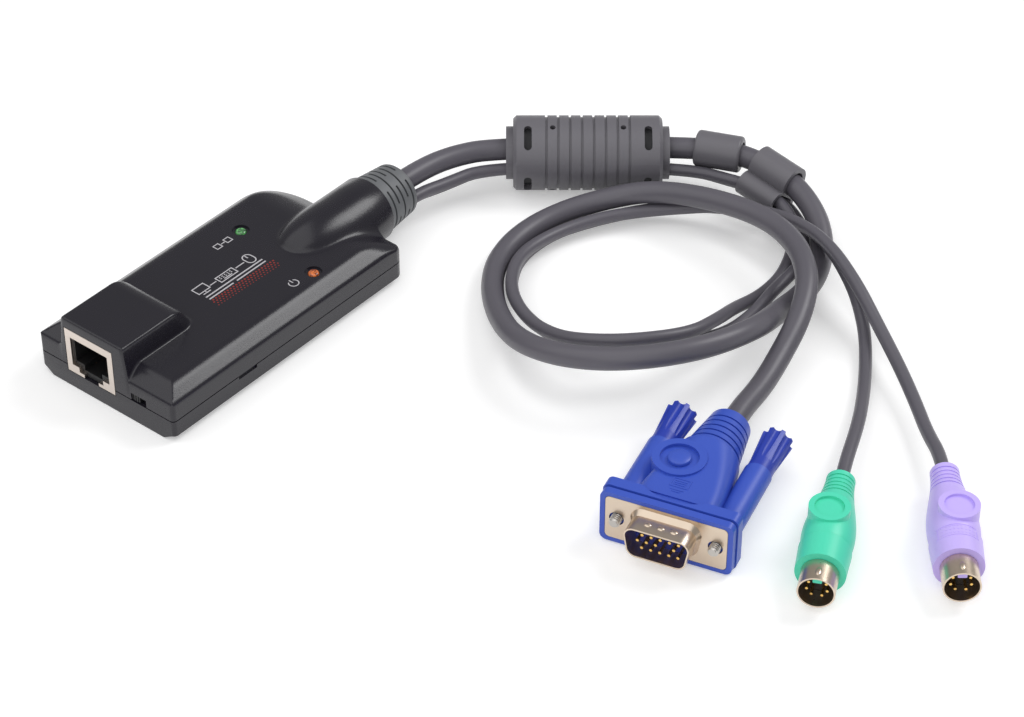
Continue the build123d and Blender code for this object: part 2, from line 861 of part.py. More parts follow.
clip_plane = place_on_cord(paths["video_cord"], clip_place, clip_length)
with BuildPart() as cable_clip:
    with BuildSketch(clip_plane):
        Circle(clip_radius)
        with Locations((clip_side, clip_drop)):
            SlotCenterToCenter(
                clip_spread, thin_cord_diameter + 2 * clip_gap + 2 * clip_wall, rotation=clip_turn
            )
    extrude(amount=clip_length / 2, both=True)
    with BuildSketch(clip_plane):
        Circle(video_cord_diameter / 2 + sleeve_gap)
        with Locations((clip_side, clip_drop)):
            SlotCenterToCenter(clip_spread, thin_cord_diameter + 2 * clip_gap, rotation=clip_turn)
    extrude(amount=clip_length, both=True, mode=Mode.SUBTRACT)
cable_clip.part.label = "cable_clip"
export_step(cable_clip.part, "parts/cable_clip.step")

# Video plug
hood_start = rim_depth + block_groove + block_depth
with BuildPart() as video_hood:
    with BuildSketch(video_plane(0)):
        RectangleRounded(rim_width, rim_height, rim_corner)
    extrude(amount=-rim_depth)
    with BuildSketch(video_plane(rim_depth)):
        RectangleRounded(rim_width - 2 * groove_sink, rim_height - 2 * groove_sink, rim_corner)
    extrude(amount=-block_groove)
    with BuildSketch(video_plane(rim_depth + block_groove)):
        RectangleRounded(block_width, block_height, rim_corner)
    extrude(amount=-block_depth)
    with BuildSketch(video_plane(hood_start)):
        RectangleRounded(hood_width, hood_height, hood_corner)
    with BuildSketch(video_plane(shoulder_place)):
        RectangleRounded(shoulder_width, hood_height, 1.4 * hood_corner)
    with BuildSketch(video_plane(waist_place)):
        RectangleRounded(2.1 * waist_radius, 2 * waist_radius, 0.9 * waist_radius)
    loft()
    with BuildSketch(video_plane(hood_start)):
        with GridLocations(screw_spacing, 1, 2, 1):
            Circle(tunnel_radius)
    extrude(amount=-(tunnel_length - hood_start))
    with BuildSketch(video_plane(waist_place)):
        Circle(waist_radius)
    with BuildSketch(video_plane(hood_length)):
        Circle(boot_end_radius)
    loft()
    disc_plane = Plane(
        origin=video_plane(disc_place).origin
        + video_plane(0).x_dir * disc_shift
        + Vector(0, 0, hood_height / 2 + disc_rise),
        x_dir=video_plane(0).x_dir,
        z_dir=(0, 0, 1),
    )
    with BuildSketch(disc_plane):
        Circle(disc_radius)
    extrude(amount=-hood_height / 2)
    with BuildSketch(disc_plane):
        Circle(disc_recess_radius)
        Circle(disc_dome_radius, mode=Mode.SUBTRACT)
    extrude(amount=-disc_depth, mode=Mode.SUBTRACT)
    crescent_plane = Plane(
        origin=video_plane(hood_start - crescent_reach + crescent_radius).origin
        + Vector(0, 0, block_height / 2),
        x_dir=video_plane(0).x_dir,
        z_dir=(0, 0, 1),
    )
    with BuildSketch(crescent_plane):
        Circle(crescent_radius)
        with Locations((0, crescent_reach / 2 - crescent_radius)):
            Rectangle(4 * crescent_radius, crescent_reach, mode=Mode.INTERSECT)
    extrude(amount=-crescent_depth, mode=Mode.SUBTRACT)
    for index in range(boot_groove_count):
        back = waist_place + 2 * boot_groove_width + index * boot_groove_pitch
        share = (back - waist_place) / (hood_length - waist_place)
        radius = waist_radius + (boot_end_radius - waist_radius) * share
        with BuildSketch(video_plane(back)):
            Circle(waist_radius * 1.2)
            Circle(radius - boot_groove_depth, mode=Mode.SUBTRACT)
        extrude(amount=-boot_groove_width, mode=Mode.SUBTRACT)
    with BuildSketch(video_plane(0)):
        RectangleRounded(flange_width + 2 * flange_gap, flange_height + 2 * flange_gap, flange_corner)
    extrude(amount=-flange_sheet, mode=Mode.SUBTRACT)
    with BuildSketch(video_plane(0)):
        with GridLocations(screw_spacing, 1, 2, 1):
            Circle(screw_radius + screw_play)
    extrude(amount=-(tunnel_length + knob_gap), mode=Mode.SUBTRACT)
    with BuildSketch(video_plane(hood_length)):
        Circle(video_cord_diameter / 2 + cord_gap)
    extrude(amount=cord_bore, mode=Mode.SUBTRACT)
video_hood.part.label = "video_hood"
export_step(video_hood.part, "parts/video_hood.step")


def shell_outline(grow):
    half = shell_width / 2 + grow
    tall = shell_height / 2 + grow
    slant = 2 * tall * math.tan(math.radians(shell_slant))
    with BuildSketch() as outline:
        with BuildLine():
            Polyline((-half, tall), (half, tall), (half - slant, -tall), (-half + slant, -tall), close=True)
        make_face()
        fillet(outline.vertices(), shell_corner + grow)
    return outline.sketch


with BuildPart() as video_shell:
    with BuildSketch(video_plane(0)):
        RectangleRounded(flange_width, flange_height, flange_corner)
        with GridLocations(screw_spacing, 1, 2, 1):
            Circle(flange_hole_radius, mode=Mode.SUBTRACT)
    extrude(amount=-flange_sheet)
    with BuildSketch(video_plane(0)):
        add(shell_outline(root_flare))
    with BuildSketch(video_plane(-root_length)):
        add(shell_outline(0))
    loft(ruled=True)
    with BuildSketch(video_plane(0)):
        add(shell_outline(0))
    extrude(amount=shell_length)
    with BuildSketch(video_plane(flange_sheet)):
        add(shell_outline(-shell_sheet))
    extrude(amount=flange_sheet + shell_length, mode=Mode.SUBTRACT)
video_shell.part.label = "video_shell"
export_step(video_shell.part, "parts/video_shell.step")

with BuildPart() as video_insert:
    with BuildSketch(video_plane(flange_sheet)):
        add(shell_outline(-shell_sheet))
    extrude(amount=flange_sheet + insert_length)
video_insert.part.label = "video_insert"
export_step(video_insert.part, "parts/video_insert.step")

with BuildPart() as video_pins:
    with BuildSketch(video_plane(-insert_length)):
        for level, count, shift in ((1, 5, 0.25), (0, 3, -1.25), (-1, 5, 0.25)):
            with Locations((shift * video_pin_pitch, level * video_row_pitch)):
                with GridLocations(video_pin_pitch, 1, count, 1):
                    Circle(video_pin_radius)
        with Locations((1.75 * video_pin_pitch, 0)):
            Circle(video_pin_radius)
    extrude(amount=video_pin_length)
video_pins.part.label = "video_pins"
export_step(video_pins.part, "parts/video_pins.step")

knob_start = tunnel_length + knob_gap
for name, side in (("left", -1), ("right", 1)):
    center = (side * screw_spacing / 2, 0)
    with BuildPart() as knob:
        with BuildSketch(video_plane(knob_start)):
            with Locations(center):
                Circle(knob_base_radius)
        extrude(amount=-knob_collar)
        with BuildSketch(video_plane(knob_start + knob_collar)):
            with Locations(center):
                Circle(knob_base_radius)
        with BuildSketch(video_plane(knob_start + knob_length)):
            with Locations(center):
                Circle(knob_end_radius)
        loft()
        with BuildSketch(video_plane(knob_start + knob_length)):
            with Locations(center):
                with PolarLocations(knob_end_radius + knob_flute_rise, knob_flutes):
                    Circle(knob_flute_radius)
        extrude(amount=knob_length - knob_collar, mode=Mode.SUBTRACT)
        with BuildSketch(video_plane(knob_start)):
            with Locations(center):
                Circle(screw_radius + knob_fit)
        extrude(amount=-knob_socket, mode=Mode.SUBTRACT)
    knob.part.label = "video_knob_" + name
    export_step(knob.part, "parts/video_knob_" + name + ".step")
    with BuildPart() as screw:
        with BuildSketch(video_plane(-screw_tip)):
            with Locations(center):
                Circle(screw_radius)
        extrude(amount=-(screw_tip + knob_start + knob_socket))
    screw.part.label = "video_screw_" + name
    export_step(screw.part, "parts/video_screw_" + name + ".step")

# Round plugs
for name, mouth_x, mouth_y, angle, thumb_place, thumb_shift in (
    ("mouse", mouse_mouth_x, mouse_mouth_y, mouse_heading, mouse_thumb_place, mouse_thumb_shift),
    (
        "keyboard",
        keyboard_mouth_x,
        keyboard_mouth_y,
        keyboard_heading,
        keyboard_thumb_place,
        keyboard_thumb_shift,
    ),
):
    mouth = plug_plane(mouth_x, mouth_y, angle, round_height, 0)
    front = mouth.offset(-din_length)
    with BuildPart() as hood:
        with BuildSketch(Plane(origin=front.origin, x_dir=-mouth.z_dir, z_dir=mouth.x_dir)):
            with BuildLine():
                body_curve = Spline(
                    (round_step_place + round_step, round_body_radius - round_step),
                    (round_waist_place / 2, round_body_radius),
                    (round_waist_place, round_waist_radius),
                    (round_hood_length, round_end_radius),
                )
                Polyline(
                    body_curve @ 1,
                    (round_hood_length, 0),
                    (0, 0),
                    (0, round_front_radius),
                    (round_step_place, round_body_radius),
                    body_curve @ 0,
                )
            make_face()
        revolve(axis=Axis(mouth.origin, mouth.z_dir))
        thumb_plane = Plane(
            origin=front.offset(-thumb_place).origin
            + mouth.x_dir * thumb_shift
            + Vector(0, 0, round_body_radius + thumb_rise),
            x_dir=mouth.x_dir,
            z_dir=(0, 0, 1),
        )
        with BuildSketch(thumb_plane):
            Circle(thumb_radius)
        extrude(amount=-round_body_radius)
        with BuildSketch(thumb_plane):
            Circle(thumb_recess_radius)
        extrude(amount=-thumb_depth, mode=Mode.SUBTRACT)
        for index in range(round_groove_count):
            back = round_waist_place + 2 * round_groove_width + index * round_groove_pitch
            share = (back - round_waist_place) / (round_hood_length - round_waist_place)
            radius = round_waist_radius + (round_end_radius - round_waist_radius) * share
            with BuildSketch(front.offset(-back)):
                Circle(round_waist_radius * 1.3)
                Circle(radius - round_groove_depth, mode=Mode.SUBTRACT)
            extrude(amount=-round_groove_width, mode=Mode.SUBTRACT)
        with BuildSketch(front):
            Circle(din_radius - din_neck + din_play)
        extrude(amount=-din_seat, mode=Mode.SUBTRACT)
        with BuildSketch(front.offset(-round_hood_length)):
            Circle(thin_cord_diameter / 2 + cord_gap)
        extrude(amount=cord_bore, mode=Mode.SUBTRACT)
    hood.part.label = name + "_hood"
    export_step(hood.part, "parts/" + name + "_hood.step")
    with BuildPart() as shell:
        with BuildSketch(mouth):
            Circle(din_radius)
        extrude(amount=din_shoulder - din_length)
        with BuildSketch(front.offset(din_shoulder)):
            Circle(din_radius - din_neck)
        extrude(amount=-(din_shoulder + din_seat))
        with BuildSketch(mouth):
            Circle(din_radius - din_sheet)
        extrude(amount=-(din_length + din_seat), mode=Mode.SUBTRACT)
    shell.part.label = name + "_shell"
    export_step(shell.part, "parts/" + name + "_shell.step")
    base = mouth.offset(-din_insert_depth)
    with BuildPart() as insert:
        with BuildSketch(base):
            Circle(din_radius - din_sheet - din_play)
        extrude(amount=-(din_length + din_seat - din_insert_depth))
    insert.part.label = name + "_insert"
    export_step(insert.part, "parts/" + name + "_insert.step")
    with BuildPart() as key:
        with BuildSketch(base):
            with Locations((0, din_key_rise)):
                RectangleRounded(din_key_width, din_key_height, din_key_height / 4)
        extrude(amount=din_key_length)
    key.part.label = name + "_key"
    export_step(key.part, "parts/" + name + "_key.step")
    with BuildPart() as pins:
        with BuildSketch(base):
            for pin_angle in (-120, -60, -15, 35, 145, 195):
                turn = math.radians(pin_angle)
                with Locations((din_pin_circle * math.cos(turn), din_pin_circle * math.sin(turn))):
                    Circle(din_pin_radius)
        extrude(amount=din_pin_length)
    pins.part.label = name + "_pins"
    export_step(pins.part, "parts/" + name + "_pins.step")
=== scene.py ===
import bpy
import bmesh
import json
import math
import numpy as np
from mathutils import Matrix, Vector

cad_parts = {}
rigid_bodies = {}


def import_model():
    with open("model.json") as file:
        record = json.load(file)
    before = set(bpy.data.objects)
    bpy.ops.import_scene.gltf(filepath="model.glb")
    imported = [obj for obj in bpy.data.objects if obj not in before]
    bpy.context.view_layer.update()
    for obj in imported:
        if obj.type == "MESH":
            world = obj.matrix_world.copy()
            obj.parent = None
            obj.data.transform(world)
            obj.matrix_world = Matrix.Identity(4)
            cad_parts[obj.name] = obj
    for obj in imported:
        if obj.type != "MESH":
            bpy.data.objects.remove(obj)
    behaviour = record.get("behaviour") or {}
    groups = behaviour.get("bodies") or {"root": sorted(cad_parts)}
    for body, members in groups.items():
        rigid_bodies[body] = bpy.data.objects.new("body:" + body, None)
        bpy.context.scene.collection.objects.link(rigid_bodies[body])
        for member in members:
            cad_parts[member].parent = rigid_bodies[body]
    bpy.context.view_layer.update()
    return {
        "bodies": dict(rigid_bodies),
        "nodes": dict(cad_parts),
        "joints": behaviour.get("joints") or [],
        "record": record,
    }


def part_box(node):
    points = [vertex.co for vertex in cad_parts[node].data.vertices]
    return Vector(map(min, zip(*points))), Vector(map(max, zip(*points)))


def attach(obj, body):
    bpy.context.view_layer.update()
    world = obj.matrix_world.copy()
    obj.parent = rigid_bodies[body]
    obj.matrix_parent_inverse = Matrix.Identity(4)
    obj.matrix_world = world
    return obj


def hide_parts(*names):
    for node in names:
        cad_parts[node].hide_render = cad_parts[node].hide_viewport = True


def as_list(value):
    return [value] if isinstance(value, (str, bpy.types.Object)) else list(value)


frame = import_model()
nodes = frame["nodes"]
scene = bpy.context.scene
scene.view_settings.view_transform = "Standard"
mm = 0.001
print("frame loaded:", len(nodes), "nodes")

# Camera: the photograph's viewing angle, solved from the plugs' standard sizes
cameraValues = {
    "place": (-438.92, -444.57, 481.93),
    "heading": 39.10,       # degrees from +X towards +Y
    "pitch": 38.82,         # degrees below the horizon
    "lens": 105.47,
    "sensor": 36.0,
}


def makeCamera(values):
    data = bpy.data.cameras.new("camera")
    data.lens = values["lens"]
    data.sensor_width = values["sensor"]
    data.clip_start = 0.05
    data.clip_end = 20.0
    camera = bpy.data.objects.new("camera", data)
    scene.collection.objects.link(camera)
    camera.location = Vector(values["place"]) * mm
    camera.rotation_euler = (
        math.radians(90 - values["pitch"]),
        0.0,
        math.radians(values["heading"] - 90),
    )
    scene.camera = camera


makeCamera(cameraValues)
print("camera placed")


# Shader maths: a Field is a value that varies over a surface
class Field:
    def __init__(self, maker, socket):
        self.maker = maker
        self.socket = socket

    def math(self, operation, left, right=0.0):
        return self.maker.math(operation, left, right)

    def __add__(self, other):
        return self.math("ADD", self, other)

    def __radd__(self, other):
        return self.math("ADD", other, self)

    def __sub__(self, other):
        return self.math("SUBTRACT", self, other)

    def __rsub__(self, other):
        return self.math("SUBTRACT", other, self)

    def __mul__(self, other):
        return self.math("MULTIPLY", self, other)

    def __rmul__(self, other):
        return self.math("MULTIPLY", other, self)


class Maker:
    # Adds nodes to a tree, for finishes and for Geometry Nodes alike
    def node(self, kind, settings=None, inputs=None, output=0):
        made = self.tree.nodes.new(kind)
        for key, value in (settings or {}).items():
            if key == "stops":
                ramp = made.color_ramp
                while len(ramp.elements) < len(value):
                    ramp.elements.new(0.5)
                for element, (place, colour) in zip(ramp.elements, value):
                    element.position = place
                    element.color = colour
            else:
                setattr(made, key, value)
        for key, value in (inputs or {}).items():
            if isinstance(value, Field):
                self.tree.links.new(value.socket, made.inputs[key])
            else:
                made.inputs[key].default_value = value
        return Field(self, made.outputs[output])

    def math(self, operation, left, right=0.0):
        return self.node("ShaderNodeMath", {"operation": operation}, {0: left, 1: right})


class Finish(Maker):
    # A material's node tree
    def __init__(self, name):
        self.material = bpy.data.materials.new(name)
        self.material.use_nodes = True
        self.tree = self.material.node_tree
        self.tree.nodes.clear()

    def place(self):
        return self.node("ShaderNodeTexCoord", output="Object")

    def noise(self, scale, detail=2.0, roughness=0.5):
        return self.node("ShaderNodeTexNoise", {}, {
            "Vector": self.place(), "Scale": scale, "Detail": detail, "Roughness": roughness})

    def blend(self, share, first, second):
        return self.node("ShaderNodeMix", {"data_type": "RGBA"}, {
            "Factor": share, "A": first, "B": second}, "Result")

    def bump(self, height, distance, strength=1.0):
        return self.node(
            "ShaderNodeBump", {}, {"Height": height, "Distance": distance, "Strength": strength}
        )

    def surface(self, fixed=None, **linked):
        inputs = dict(fixed or {})
        inputs.update(linked)
        return self.show(self.node("ShaderNodeBsdfPrincipled", {}, inputs))

    def show(self, shader):
        output = self.tree.nodes.new("ShaderNodeOutputMaterial")
        self.tree.links.new(shader.socket, output.inputs["Surface"])
        return self.material


def linear(red, green, blue):
    # A colour read as 0-255 screen values, made linear
    def one(value):
        share = value / 255
        return ((share + 0.055) / 1.055) ** 2.4 if value > 10 else share / 12.92
    return one(red), one(green), one(blue), 1.0


# Moulded plastic: a spark-eroded grain, faint colour drift and slightly uneven gloss
def moulded(name, colour, shade, rough, grain=0.00002, grainScale=2600.0):
    finish = Finish(name)
    drift = finish.noise(35.0, 3.0)
    fine = finish.noise(grainScale, 2.0, 0.6)
    colourField = finish.blend(drift, linear(*shade), linear(*colour))
    gloss = rough + (fine - 0.5) * 0.10 + (drift - 0.5) * 0.08
    normal = finish.bump(fine, grain, 0.6)
    return finish.surface(
        {"Coat Weight": 0.0, "Specular IOR Level": 0.5, "Metallic": 0.0},
        **{"Base Color": colourField, "Roughness": gloss, "Normal": normal},
    )


# Plated metal: bright, with faint unevenness in its gloss
def plated(name, colour, shade, rough, scale=900.0):
    finish = Finish(name)
    drift = finish.noise(120.0, 3.0)
    fine = finish.noise(scale, 3.0, 0.6)
    colourField = finish.blend(drift, linear(*shade), linear(*colour))
    gloss = rough + (fine - 0.5) * 0.12
    return finish.surface(
        {"Metallic": 1.0},
        **{"Base Color": colourField, "Roughness": gloss, "Normal": finish.bump(fine, 0.000006, 0.5)},
    )


# Clear coloured plastic: painted bright and dark flecks, with a faint painted glow, stand in for the light seen in
# the lens
def lens(name, colour, shade):
    finish = Finish(name)
    paintedFlecks = finish.noise(1500.0, 2.0, 0.7)
    stops = [(0.42, linear(*shade)), (0.62, linear(*colour))]
    sharp = finish.node("ShaderNodeValToRGB", {"stops": stops}, {"Fac": paintedFlecks})
    # The flecks are painted glints and painted shade; the weak emission of their colour is a painted glow
    return finish.surface(
        {"Coat Weight": 1.0, "Coat Roughness": 0.06, "Emission Strength": 0.18},
        **{"Base Color": sharp, "Emission Color": sharp, "Roughness": 0.25 + paintedFlecks * 0.15},
    )


finishes = {
    "housing_plastic": moulded("housingBlack", (31, 29, 38), (27, 25, 33), 0.26),
    "relief_rubber": moulded("reliefGrey", (108, 110, 113), (100, 102, 105), 0.48),
    "cord_jacket": moulded("cordJacket", (96, 93, 101), (88, 86, 94), 0.40, 0.000015, 1800.0),
    "ferrite_plastic": moulded("ferriteGrey", (108, 106, 112), (102, 100, 106), 0.42),
    "ferrite_ceramic": moulded("ferriteCeramic", (52, 52, 55), (44, 44, 46), 0.7),
    "jack_metal": plated("jackShield", (226, 214, 204), (208, 198, 190), 0.30),
    "jack_plastic": moulded("jackInsert", (20, 20, 22), (16, 16, 18), 0.5),
    "gold": plated("goldContact", (236, 196, 118), (222, 178, 98), 0.22),
    "board": moulded("boardGreen", (24, 84, 52), (20, 70, 44), 0.4),
    "switch_plastic": moulded("switchBlack", (30, 30, 32), (24, 24, 26), 0.45),
    "light_green": lens("lightGreen", (96, 176, 100), (20, 62, 32)),
    "light_orange": lens("lightOrange", (232, 124, 52), (112, 42, 10)),
    "video_blue": moulded("videoBlue", (60, 90, 196), (52, 82, 188), 0.38),
    "knob_blue": moulded("knobBlue", (42, 66, 176), (36, 58, 168), 0.34),
    "screw_steel": plated("screwSteel", (196, 192, 186), (176, 172, 168), 0.30),
    "plug_nickel": plated("plugNickel", (222, 206, 188), (202, 184, 164), 0.30),
    "video_insert_blue": moulded("videoInsert", (34, 52, 150), (28, 44, 138), 0.45),
    "mouse_green": moulded("mouseGreen", (84, 226, 190), (74, 218, 180), 0.38),
    "keyboard_purple": moulded("keyboardPurple", (206, 186, 255), (198, 178, 252), 0.38),
    "print_red": moulded("printRed", (150, 44, 36), (128, 36, 30), 0.5),
    "print_pale": moulded("printPale", (196, 194, 198), (186, 184, 188), 0.5),
    "plug_black": moulded("plugBlack", (20, 20, 22), (16, 16, 18), 0.5),
}
slotOf = {entry["node"]: entry["material_slot"] for entry in frame["record"]["subparts"]}
for name, piece in nodes.items():
    piece.data.materials.clear()
    piece.data.materials.append(finishes[slotOf[name]])
print("finishes made:", len(finishes))

# Cords: each route is the one that the CAD tube follows, in millimetres
cordValues = {
    "video_cord": {
        "diameter": 6.0,
        "mouth": (-9.6, -142.2, 7.75),
        "heading": 195.1,
        "ends": (48.6, 37.6),
        "onIt": ["ferrite_core", "ferrite_cover_upper", "ferrite_cover_lower", "cable_sleeve", "cable_clip",
                 "video_hood", "video_shell", "video_insert", "video_pins", "video_knob_left",
                 "video_knob_right", "video_screw_left", "video_screw_right"],
        "route": [
            (47.75, -5.4, 12.3), (59.6, -5.4, 12.3), (72.0, -7.9, 12.1), (83.2, -14.5, 11.7),
            (116.9, -55.8, 12.1), (122.8, -69.6, 12.5), (122.8, -84.5, 11.1), (118.5, -95.7, 8.8),
            (111.8, -103.7, 6.4), (102.9, -109.2, 4.4), (92.3, -112.0, 3.8), (77.3, -113.6, 7.1),
            (57.5, -119.5, 16.4), (39.1, -115.5, 19.2), (25.1, -103.1, 18.4), (19.2, -87.9, 15.6),
            (21.1, -71.9, 11.5), (32.2, -56.2, 6.0), (44.2, -44.8, 3.8), (55.7, -38.8, 3.0),
            (68.1, -37.4, 3.1), (80.2, -40.6, 4.0), (90.3, -47.9, 6.0), (96.9, -58.0, 9.5),
            (100.4, -74.1, 12.4), (100.4, -92.1, 14.7), (95.1, -106.4, 15.4), (86.0, -116.5, 14.2),
            (74.0, -122.3, 11.5), (60.1, -125.3, 7.8), (49.1, -127.8, 7.0),
        ],
    },
    "keyboard_cord": {
        "diameter": 3.4,
        "mouth": (19.7, -205.8, 6.5),
        "heading": 218.5,
        "ends": (45.64, 35.2),
        "onIt": ["keyboard_hood", "keyboard_shell", "keyboard_insert", "keyboard_key", "keyboard_pins"],
        "route": [
            (47.75, -9.6, 9.2), (56.0, -9.6, 9.2), (65.2, -11.2, 8.0), (78.8, -15.3, 8.2),
            (112.6, -57.3, 8.1), (116.2, -71.5, 7.9), (117.7, -78.6, 8.1), (116.4, -87.8, 7.3),
            (111.4, -95.2, 5.6), (103.0, -99.7, 3.1), (94.6, -101.9, 1.75), (84.6, -102.2, 1.9),
            (73.2, -102.5, 5.4), (61.2, -105.9, 10.9), (47.4, -107.1, 15.2), (34.2, -99.0, 17.0),
            (28.6, -88.6, 15.2), (28.4, -79.0, 12.0), (31.6, -68.1, 9.1), (38.8, -56.4, 7.2),
            (48.2, -48.5, 6.2), (58.1, -44.6, 5.2), (70.8, -45.1, 4.2), (83.1, -50.2, 4.4),
            (92.2, -57.2, 4.7), (99.6, -65.9, 5.7), (104.4, -75.1, 7.8), (107.1, -86.3, 10.1),
            (106.3, -99.3, 12.6), (102.3, -111.7, 13.6), (95.3, -125.3, 11.1), (88.8, -136.0, 7.7),
            (83.2, -144.3, 6.2), (77.7, -151.7, 5.3), (70.7, -160.2, 4.6), (63.4, -168.0, 4.7),
        ],
    },
    "mouse_cord": {
        "diameter": 3.4,
        "mouth": (-3.1, -180.6, 6.5),
        "heading": 206.0,
        "ends": (46.32, 35.2),
        "onIt": ["mouse_hood", "mouse_shell", "mouse_insert", "mouse_key", "mouse_pins"],
        "route": [
            (47.75, -6.6, 6.5), (56.6, -6.6, 6.5), (67.9, -7.8, 4.2), (81.3, -13.2, 6.0),
            (115.3, -55.4, 5.9), (120.0, -70.6, 4.7), (121.0, -78.3, 5.3), (119.6, -87.5, 4.5),
            (114.7, -96.1, 3.3), (105.4, -102.8, 3.1), (95.9, -104.8, 4.3), (86.3, -105.3, 4.2),
            (75.2, -106.7, 3.6), (61.8, -107.3, 5.9), (47.0, -104.7, 11.2), (36.5, -97.6, 12.9),
            (31.4, -88.8, 11.7), (30.8, -79.8, 9.2), (33.7, -69.9, 6.4), (39.1, -58.5, 4.0),
            (46.4, -49.3, 2.5), (58.4, -42.7, 1.78), (72.1, -42.7, 1.76), (84.1, -47.5, 1.75),
            (95.0, -55.5, 2.7), (101.9, -63.5, 4.0), (107.1, -74.1, 5.4), (110.4, -88.1, 8.0),
            (109.2, -99.0, 10.0), (105.1, -110.1, 10.7), (98.1, -122.2, 7.7), (91.7, -129.8, 4.7),
            (85.8, -135.0, 2.9), (77.8, -140.5, 1.78), (67.3, -146.8, 2.5), (54.3, -153.7, 5.2),
        ],
    },
}


def behindPlug(mouth, heading, distance):
    # A point on a plug's axis, measured back from its mouth
    turn = math.radians(heading)
    return (mouth[0] - distance * math.cos(turn), mouth[1] - distance * math.sin(turn), mouth[2])


def lineLength(curveObject):
    line = bpy.data.meshes.new_from_object(curveObject)
    points = [vertex.co.copy() for vertex in line.vertices]
    bpy.data.meshes.remove(line)
    return sum((b - a).length for a, b in zip(points, points[1:]))


def makeCord(name, values):
    points = values["route"] + [
        behindPlug(values["mouth"], values["heading"], distance) for distance in values["ends"]
    ]
    data = bpy.data.curves.new(name + "_jacket", "CURVE")
    data.dimensions = "3D"
    data.resolution_u = 10
    spline = data.splines.new("NURBS")
    spline.points.add(len(points) - 1)
    for point, place in zip(spline.points, points):
        point.co = (place[0] * mm, place[1] * mm, place[2] * mm, 1.0)
    spline.order_u = 3
    spline.use_endpoint_u = True
    cord = bpy.data.objects.new(name + "_jacket", data)
    scene.collection.objects.link(cord)
    length = lineLength(cord)
    data.bevel_depth = values["diameter"] / 2 * mm
    data.bevel_resolution = 6
    data.use_fill_caps = True
    data.materials.append(finishes["cord_jacket"])
    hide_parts(name)
    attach(cord, "housing")
    Vector(points[0]) * mm
    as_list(values["onIt"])
    print(name, "length", round(length, 4))
    return cord


cords = {name: makeCord(name, values) for name, values in cordValues.items()}
print("cords laid:", len(cords))


# Meshes made in code: a piece is a closed mesh in millimetres, with its finish and its body
def makePiece(name, vertices, faces, slot, body="housing", smooth=35.0, keep=True):
    mesh = bpy.data.meshes.new(name)
    mesh.from_pydata([tuple(c * mm for c in v) for v in vertices], [], faces)
    tool = bmesh.new()
    tool.from_mesh(mesh)
    bmesh.ops.remove_doubles(tool, verts=tool.verts, dist=0.000001)
    bmesh.ops.recalc_face_normals(tool, faces=tool.faces)
    tool.to_mesh(mesh)
    tool.free()
    mesh.shade_smooth()
    mesh.set_sharp_from_angle(angle=math.radians(smooth))
    piece = bpy.data.objects.new(name, mesh)
    scene.collection.objects.link(piece)
    if keep:
        mesh.materials.append(finishes[slot])
        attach(piece, body)
        slot in slotOf.values()
    return piece


def ringFaces(rows, count, closed=True):
    faces = []
    for row in range(rows - 1):
        for step in range(count if closed else count - 1):
            near = row * count + step
            far = row * count + (step + 1) % count
            faces.append((near, far, far + count, near + count))
    return faces


def loft(rings):
    # A closed skin over rings of equally many points, with flat ends
    count = len(rings[0])
    vertices = [point for ring in rings for point in ring]
    faces = ringFaces(len(rings), count)
    faces.append(tuple(range(count)))
    faces.append(tuple(range((len(rings) - 1) * count, len(rings) * count)))
    return vertices, faces


def boxSkin(low, high):
    rings = [[(x, y, z) for x, y in ((low[0], low[1]), (high[0], low[1]), (high[0], high[1]), (low[0], high[1]))]
             for z in (low[2], high[2])]
    return loft(rings)


def discSkin(center, radius, low, high, steps=48):
    rings = [[(center[0] + radius * math.cos(2 * math.pi * i / steps),
               center[1] + radius * math.sin(2 * math.pi * i / steps), z) for i in range(steps)]
             for z in (low, high)]
    return loft(rings)


def combine(piece, tools):
    # Cuts or joins closed skins, then keeps the plain mesh
    for kind, skin in tools:
        tool = makePiece("tool", *skin, None, keep=False)
        change = piece.modifiers.new("combine", "BOOLEAN")
        change.operation = kind
        change.solver = "EXACT"
        change.object = tool
        bpy.context.view_layer.update()
        graph = bpy.context.evaluated_depsgraph_get()
        made = bpy.data.meshes.new_from_object(piece.evaluated_get(graph))
        piece.modifiers.clear()
        old = piece.data
        piece.data = made
        bpy.data.meshes.remove(old)
        toolMesh = tool.data
        bpy.data.objects.remove(tool)
        bpy.data.meshes.remove(toolMesh)
    piece.data.set_sharp_from_angle(angle=math.radians(35.0))


def spot(nodeName):
    low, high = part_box(nodeName)
    return [c / mm for c in low], [c / mm for c in high]


